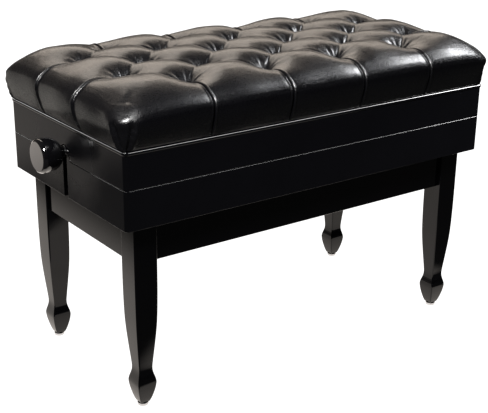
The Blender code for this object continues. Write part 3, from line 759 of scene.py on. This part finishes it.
total = np.zeros(len(base))
crease = np.zeros(len(base))
lip = np.zeros(len(base))
sharpness = 4.5
for number, seg in enumerate(folds):
    s, d, sd, length = along_segment(par_a, par_b, seg)
    near_end = np.minimum(s, length - s)
    depth = 0.0016 + 0.0064 * np.exp(-near_end / 0.013)
    depth *= 1 + 0.2 * math.sin(number * 2.4)
    v = depth * np.clip(1 - d / 0.020, 0, 1) ** 1.7
    total += np.where(on_top, v, 0.0) ** sharpness
    cut = (0.0008 + 0.0042 * np.exp(-(near_end / 0.022) ** 1.5)) * np.exp(-(d / 0.0014) ** 1.3)
    crease = np.maximum(crease, np.where(on_top, cut, 0.0))
    hand = 1 if number % 3 else -1
    lip += np.where(on_top & (sd == hand), 1, 0) * 0.0024 * \
        np.exp(-((d - 0.0034) / 0.0017) ** 2) * np.exp(-(near_end / 0.024) ** 2)

for number, (x0, y0, x1, y1) in enumerate(pleats):
    s, d, sd, length = along_segment(par_a, par_b, (x0, y0, x1, y1))
    lateral = np.abs(par_a - x0) if x0 == x1 else np.abs(par_b - y0)
    # only the face that the pleat runs down
    if x0 == x1:
        facing = np.abs(par_b - y1) < 1e-6
    else:
        facing = np.abs(par_a - x1) < 1e-6
    on_side = (~on_top) & facing
    path = np.where(on_top, s, length)
    depth_top = 0.0018 + 0.0065 * np.exp(-path / 0.018)
    depth_side = 0.0016 * (1 - down) ** 1.1 + 0.0003
    depth = np.where(on_side, depth_side, depth_top)
    dist = np.where(on_side, lateral, d)
    v = depth * np.clip(1 - dist / 0.018, 0, 1) ** 2.0
    total += np.where(on_top | on_side, v, 0.0) ** sharpness
    cut = (0.0058 + 0.0010 * np.exp(-path / 0.014)) * np.exp(-(dist / 0.0012) ** 1.6)
    cut *= np.where(on_side, 0.50 + 0.50 * (1 - down), 1.0)
    crease = np.maximum(crease, np.where(on_top | on_side, cut, 0.0))
    hand = 1 if x0 == x1 else -1
    signed = (par_a - x0) if x0 == x1 else (par_b - y0)
    here = np.where(on_top | on_side, 1, 0) * np.clip(path / 0.02, 0, 1) * \
        np.clip((1 - down) * 2.2, 0, 1)
    lip += here * (np.sign(signed) == hand) * 0.0028 * \
        np.exp(-((dist - 0.0031) / 0.0015) ** 2)
    lip += here * (np.sign(signed) != hand) * 0.0018 * \
        np.exp(-((dist - 0.0028) / 0.0013) ** 2)
valley = puff + total ** (1 / sharpness) + crease

# pits at the tufts, and the small wrinkles that run into them
for number, (x0, y0) in enumerate(tufts):
    r = np.hypot(par_a - x0, par_b - y0)
    angle = np.arctan2(par_b - y0, par_a - x0)
    valley += np.where(on_top, 0.0060 * np.exp(-(r / 0.0075) ** 1.3), 0)
    ring = np.exp(-((r - 0.017) / 0.011) ** 2)
    phase = rng.uniform(0, 6.28, 3)
    waves = np.sin(9 * angle + phase[0]) * 0.5 + np.sin(14 * angle + phase[1]) * 0.35 + \
        np.sin(5 * angle + phase[2]) * 0.4
    valley += np.where(on_top, 0.0011 * ring * waves, 0)

# folded corners: two creases spread up from each bottom corner
corner_c = np.abs(HX - np.abs(par_a)) + np.abs(HY - np.abs(par_b))
rise = 1 - down
spread = 0.0050 + 0.0088 * np.clip(rise / 0.62, 0, 1)
fade = np.clip((0.74 - rise) / 0.16, 0, 1) * np.where(on_top, 0, 1)
valley += 0.0066 * fade * np.exp(-(np.abs(corner_c - spread) / 0.0016) ** 1.3)
lip += 0.0024 * fade * np.exp(-((corner_c - spread - 0.0038) / 0.0019) ** 2)
# the tab between them lies flat and a little sunk, under a bulge
valley += 0.0022 * fade * np.clip(1 - corner_c / (spread + 0.001), 0, 1) ** 0.7 * \
    np.clip((0.62 - rise) / 0.16, 0, 1)
valley -= np.where(on_top, 0, 0.0026) * np.exp(-(corner_c / 0.016) ** 2) * \
    np.exp(-((rise - 0.70) / 0.11) ** 2)

# slow unevenness of the filling
wave = np.zeros(len(base))
for _ in range(14):
    kx, ky = rng.normal(0, 34, 2)
    wave += np.sin(kx * par_a + ky * par_b + rng.uniform(0, 6.28)) * 0.00035
wave *= np.clip((1 - down) * 3, 0, 1)
settle = np.clip((1 - down) / 0.06, 0, 1)
shape = base + normals * ((-valley + lip + wave) * settle)[:, None]
shape[:, 2] = np.maximum(shape[:, 2], ZF)


def filled_out(points):
    """How far each point moves when the stuffed leather is simulated as cloth."""
    step = 4
    na, nb = 10 * N, 6 * N
    top = index[::step, ::step]
    rings = [ring_index[k][::step] for k in range(step, ROWS + 1, step)]
    keep = np.concatenate([top.ravel()] + [np.array(r) for r in rings])
    number = {int(v): k for k, v in enumerate(keep)}
    quads = []
    for i in range(top.shape[0] - 1):
        for j in range(top.shape[1] - 1):
            quads.append(tuple(number[int(v)] for v in (top[i, j], top[i + 1, j],
                                                        top[i + 1, j + 1], top[i, j + 1])))
    ladder = [ring_index[0][::step]] + rings
    turns = len(ladder[0])
    for one, two in zip(ladder, ladder[1:]):
        for k in range(turns):
            j = (k + 1) % turns
            quads.append(tuple(number[int(v)] for v in (one[k], two[k], two[j], one[j])))
    start = points[keep]
    cloth_mesh = bpy.data.meshes.new("cloth_work")
    cloth_mesh.from_pydata(start.tolist(), [], quads)
    work = bmesh.new()
    work.from_mesh(cloth_mesh)
    bmesh.ops.recalc_face_normals(work, faces=work.faces)
    if sum(f.normal.z for f in work.faces) < 0:
        bmesh.ops.reverse_faces(work, faces=work.faces)
    work.to_mesh(cloth_mesh)
    work.free()
    cloth = bpy.data.objects.new("cloth_work", cloth_mesh)
    scene.collection.objects.link(cloth)
    # held at the tufts, along the pleats and at the seam
    near_tuft = np.min(np.hypot(par_a[keep, None] - tufts[None, :, 0],
                                par_b[keep, None] - tufts[None, :, 1]), axis=1)
    held = np.where(down[keep] > 0.95, 1.0, np.clip(1.4 - near_tuft / 0.009, 0, 1))
    held = np.maximum(held, np.clip(valley[keep] / 0.022 - 0.35, 0, 1))
    group = cloth.vertex_groups.new(name="held")
    for k, weight in enumerate(held):
        if weight > 0.01:
            group.add([k], float(weight), "REPLACE")
    mod = cloth.modifiers.new("cloth", "CLOTH")
    mod.settings.quality = 6
    mod.settings.mass = 0.25
    mod.settings.tension_stiffness = 30
    mod.settings.compression_stiffness = 12
    mod.settings.shear_stiffness = 12
    mod.settings.bending_stiffness = 0.6
    mod.settings.tension_damping = 12
    mod.settings.compression_damping = 12
    mod.settings.shear_damping = 12
    mod.settings.air_damping = 4
    mod.settings.vertex_group_mass = "held"
    mod.settings.effector_weights.gravity = 0
    mod.settings.use_pressure = True
    mod.settings.uniform_pressure_force = 4
    mod.collision_settings.use_collision = False
    mod.collision_settings.use_self_collision = False
    mod.point_cache.frame_start = 1
    mod.point_cache.frame_end = 20
    for frame_number in range(1, 21):
        scene.frame_set(frame_number)
    result = cloth.evaluated_get(bpy.context.evaluated_depsgraph_get())
    moved = np.zeros(len(keep) * 3, np.float32)
    result.data.vertices.foreach_get("co", moved)
    moved = moved.reshape(-1, 3).astype(float) - start
    bpy.data.objects.remove(cloth, do_unlink=True)
    scene.frame_set(1)
    if not np.isfinite(moved).all():
        return np.zeros_like(points)
    size = np.linalg.norm(moved, axis=1, keepdims=True)
    moved *= np.minimum(1, 0.0045 / np.maximum(size, 1e-9))
    # back up to the fine grid
    full = np.zeros_like(points)
    grid = moved[:top.size].reshape(top.shape + (3,))
    u, v = np.arange(na + 1) / step, np.arange(nb + 1) / step
    i0 = np.minimum(u.astype(int), top.shape[0] - 2)
    j0 = np.minimum(v.astype(int), top.shape[1] - 2)
    fu, fv = (u - i0)[:, None, None], (v - j0)[None, :, None]
    full[:(na + 1) * (nb + 1)] = (
        grid[i0][:, j0] * (1 - fu) * (1 - fv) + grid[i0 + 1][:, j0] * fu * (1 - fv)
        + grid[i0][:, j0 + 1] * (1 - fu) * fv
        + grid[i0 + 1][:, j0 + 1] * fu * fv).reshape(-1, 3)
    bands = [full[ring_index[0]][::step]]
    at = top.size
    for _ in rings:
        bands.append(moved[at:at + turns])
        at += turns
    bands = np.stack(bands)
    w = np.arange(count) / step
    k0 = w.astype(int) % turns
    k1 = (k0 + 1) % turns
    fw = (w - w.astype(int))[:, None]
    for row in range(1, ROWS + 1):
        r = row / step
        r0 = min(int(r), len(bands) - 2)
        fr = r - r0
        low = bands[r0][k0] * (1 - fw) + bands[r0][k1] * fw
        high = bands[r0 + 1][k0] * (1 - fw) + bands[r0 + 1][k1] * fw
        full[ring_index[row]] = low * (1 - fr) + high * fr
    return full


push = filled_out(shape)
# the folds keep their sharp shape, and the seam stays on the board
hold = np.clip(1 - (valley - 0.004) / 0.012, 0, 1) * settle
shape += push * hold[:, None]
shape[:, 2] = np.maximum(shape[:, 2], ZF)
print("cloth moved the leather by up to %.1f mm, on average %.2f mm"
      % (1000 * np.linalg.norm(push * hold[:, None], axis=1).max(),
         1000 * np.linalg.norm(push * hold[:, None], axis=1).mean()))
mesh.vertices.foreach_set("co", shape.astype(np.float32).ravel())
mesh.update()
cushion = piece("cushion_leather", mesh, LEATHER, "lid", ["cushion"],
                sharp=0)
cushion.data.shade_smooth()

# ------------------------------------------------------------- camera, lights
F_PX, PIX_W = 1051.75, 488.0
look = Vector((0.5541, 0.7557, -0.3492)).normalized()
right = Vector((0.8090, -0.5879, 0.0112)).normalized()
up = right.cross(look).normalized()
cam = bpy.data.objects.new("camera", bpy.data.cameras.new("camera"))
scene.collection.objects.link(cam)
cam.data.sensor_width = 36.0
cam.data.lens = F_PX / PIX_W * 36.0
cam.matrix_world = Matrix(((right.x, up.x, -look.x, -1.0787),
                           (right.y, up.y, -look.y, -1.4440),
                           (right.z, up.z, -look.z, 0.8990),
                           (0, 0, 0, 1)))
scene.camera = cam


def area(name, place, aim, size, power, colour=(1, 1, 1)):
    data = bpy.data.lights.new(name, "AREA")
    data.shape = "RECTANGLE"
    data.size, data.size_y = size
    data.energy = power
    data.color = colour
    obj = bpy.data.objects.new(name, data)
    scene.collection.objects.link(obj)
    obj.location = place
    obj.rotation_euler = (Vector(aim) - Vector(place)).to_track_quat("-Z", "Y").to_euler()
    return obj


area("back_softbox", (1.2, 2.05, 1.85), (0.15, 0, 0.5), (3.0, 1.0), 18, (1.0, 0.89, 0.78))
area("left_softbox", (0.25, 1.35, 2.2), (-0.2, 0, 0.5), (1.1, 0.9), 6.5, (1.0, 0.92, 0.83))
area("right_window", (2.3, -0.25, 2.1), (0, 0, 0.4), (1.1, 0.5), 37, (0.97, 0.98, 1.0))
area("key_window", (-1.5, -1.2, 2.3), (0, 0, 0.4), (0.6, 0.6), 135, (1.0, 0.99, 0.98))
# four panels that only pick out the lacquered edges
edges = bpy.data.collections.new("lacquered_edges")
for name in ("box_shell", "lid_shell", "seat_board_edge"):
    edges.objects.link(bpy.data.objects[name])
for name, place, size, power in (("edge_right", (1.45, -1.8, 1.7), (2.2, 0.9), 125),
                                 ("edge_left", (-1.5, 2.0, 1.25), (1.6, 0.8), 20),
                                 ("edge_far", (2.0, -1.1, 1.6), (0.7, 0.6), 70),
                                 ("edge_side", (-2.0, -0.05, 1.55), (0.5, 0.5), 30)):
    panel = area(name, place, (0, 0, 0.4), size, power)
    panel.visible_camera = False
    panel.light_linking.receiver_collection = edges
knob_set = bpy.data.collections.new("knob_set")
for name in ("knob_left_turned", "knob_right_turned"):
    knob_set.objects.link(bpy.data.objects[name])
panel = area("knob_panel", (-0.86, 0.92, 0.14), (-0.42, 0, 0.398), (0.5, 0.5), 0.34,
             (1.0, 0.92, 0.86))
panel.light_linking.receiver_collection = knob_set
leather_set = bpy.data.collections.new("leather_set")
leather_set.objects.link(cushion)
panel = area("leather_panel", (-0.72, 0.85, 0.02), (-0.5, 0.3, 0.5), (0.8, 1.6), 1.90,
             (1.0, 0.95, 0.88))
panel.light_linking.receiver_collection = leather_set

world = bpy.data.worlds.new("studio")
scene.world = world
world.use_nodes = True
tree = world.node_tree
tree.nodes.clear()
out = tree.nodes.new("ShaderNodeOutputWorld")
background = tree.nodes.new("ShaderNodeBackground")
background.inputs["Color"].default_value = (1.0, 1.0, 1.0, 1)
background.inputs["Strength"].default_value = 1.0
dim = tree.nodes.new("ShaderNodeBackground")
dim.inputs["Color"].default_value = (1.0, 0.90, 0.81, 1)
coord = tree.nodes.new("ShaderNodeTexCoord")
split = tree.nodes.new("ShaderNodeSeparateXYZ")
tree.links.new(coord.outputs["Generated"], split.inputs["Vector"])
to_back = tree.nodes.new("ShaderNodeMath")
to_back.operation = "MULTIPLY_ADD"
to_back.inputs[1].default_value = -0.6
tree.links.new(split.outputs["X"], to_back.inputs[0])
tree.links.new(split.outputs["Y"], to_back.inputs[2])
level = tree.nodes.new("ShaderNodeMapRange")
level.inputs["From Min"].default_value = -0.5
level.inputs["From Max"].default_value = 0.9
level.inputs["To Min"].default_value = 0.012
level.inputs["To Max"].default_value = 0.10
tree.links.new(to_back.outputs["Value"], level.inputs["Value"])
tree.links.new(level.outputs["Result"], dim.inputs["Strength"])
path = tree.nodes.new("ShaderNodeLightPath")
mix = tree.nodes.new("ShaderNodeMixShader")
tree.links.new(path.outputs["Is Camera Ray"], mix.inputs["Fac"])
tree.links.new(dim.outputs["Background"], mix.inputs[1])
tree.links.new(background.outputs["Background"], mix.inputs[2])
tree.links.new(mix.outputs["Shader"], out.inputs["Surface"])

# floor: plain white to the camera; the glow that other rays see is a painted reflection pattern
floor_mesh = bpy.data.meshes.new("floor")
floor_mesh.from_pydata([(-12, -12, 0), (12, -12, 0), (12, 12, 0), (-12, 12, 0)], [],
                       [(0, 1, 2, 3)])
floor = bpy.data.objects.new("floor", floor_mesh)
scene.collection.objects.link(floor)
# painted reflection: a dark floor whose emission, not a lamp, sets the bright and dark zones the lacquer
# mirrors
mat, ftree, shader = new_material("floor_glow_painted_reflection")
shader.inputs["Base Color"].default_value = (0.04, 0.04, 0.04, 1)
shader.inputs["Roughness"].default_value = 0.8
shader.inputs["Specular IOR Level"].default_value = 0.0
shader.inputs["Emission Color"].default_value = (1.0, 1.0, 1.0, 1)
place = node(ftree, "ShaderNodeTexCoord").outputs["Object"]


def falloff(direction, start, end, low, high):
    """A soft step of the floor's brightness along a direction."""
    along = node(ftree, "ShaderNodeVectorMath", operation="DOT_PRODUCT")
    ftree.links.new(place, along.inputs[0])
    along.inputs[1].default_value = direction
    step = node(ftree, "ShaderNodeMapRange", interpolation_type="SMOOTHSTEP")
    step.inputs["From Min"].default_value = start
    step.inputs["From Max"].default_value = end
    step.inputs["To Min"].default_value = low
    step.inputs["To Max"].default_value = high
    ftree.links.new(along.outputs["Value"], step.inputs["Value"])
    return step.outputs["Result"]


# painted reflection: the floor's glow, as seen by all but camera rays, is bright under the bench and
# towards the back, and dark beyond its left edge and in front of it
left_edge = falloff((1, 0, 0), -0.79, -0.55, 0.0, 1.02)
far_glow = falloff((0, 1, 0), 0.82, 1.35, 0.07, 0.44)
front_edge = falloff((0.6656, -0.746, 0), 0.45, 0.50, 1.0, 0.004)
near_edge = falloff((-0.573, -0.82, 0), 0.345, 0.385, 1.0, 0.004)
both = node(ftree, "ShaderNodeMath", operation="MULTIPLY")
brighter = node(ftree, "ShaderNodeMath", operation="MAXIMUM")
ftree.links.new(left_edge, brighter.inputs[0])
ftree.links.new(far_glow, brighter.inputs[1])
ftree.links.new(brighter.outputs["Value"], both.inputs[0])
ftree.links.new(front_edge, both.inputs[1])
all_three = node(ftree, "ShaderNodeMath", operation="MULTIPLY")
ftree.links.new(both.outputs["Value"], all_three.inputs[0])
ftree.links.new(near_edge, all_three.inputs[1])
seen = node(ftree, "ShaderNodeLightPath")
plain_white = node(ftree, "ShaderNodeMath", operation="MAXIMUM")
ftree.links.new(all_three.outputs["Value"], plain_white.inputs[0])
ftree.links.new(seen.outputs["Is Camera Ray"], plain_white.inputs[1])
# the painted reflection glow is a little warmer where it is mirrored
warm = mixed(ftree, seen.outputs["Is Camera Ray"], (1.0, 0.93, 0.865), (1.0, 1.0, 1.0))
ftree.links.new(warm, shader.inputs["Emission Color"])
ftree.links.new(plain_white.outputs["Value"], shader.inputs["Emission Strength"])
floor_mesh.materials.append(mat)
# the white of the floor isn't mirrored in the leather
not_leather = bpy.data.collections.new("not_leather")
not_leather.objects.link(cushion)
not_leather.collection_objects[0].light_linking.link_state = "EXCLUDE"
floor.light_linking.receiver_collection = not_leather

scene.view_settings.view_transform = "Standard"
scene.view_settings.look = "Medium High Contrast"
scene.view_settings.exposure = 0.0
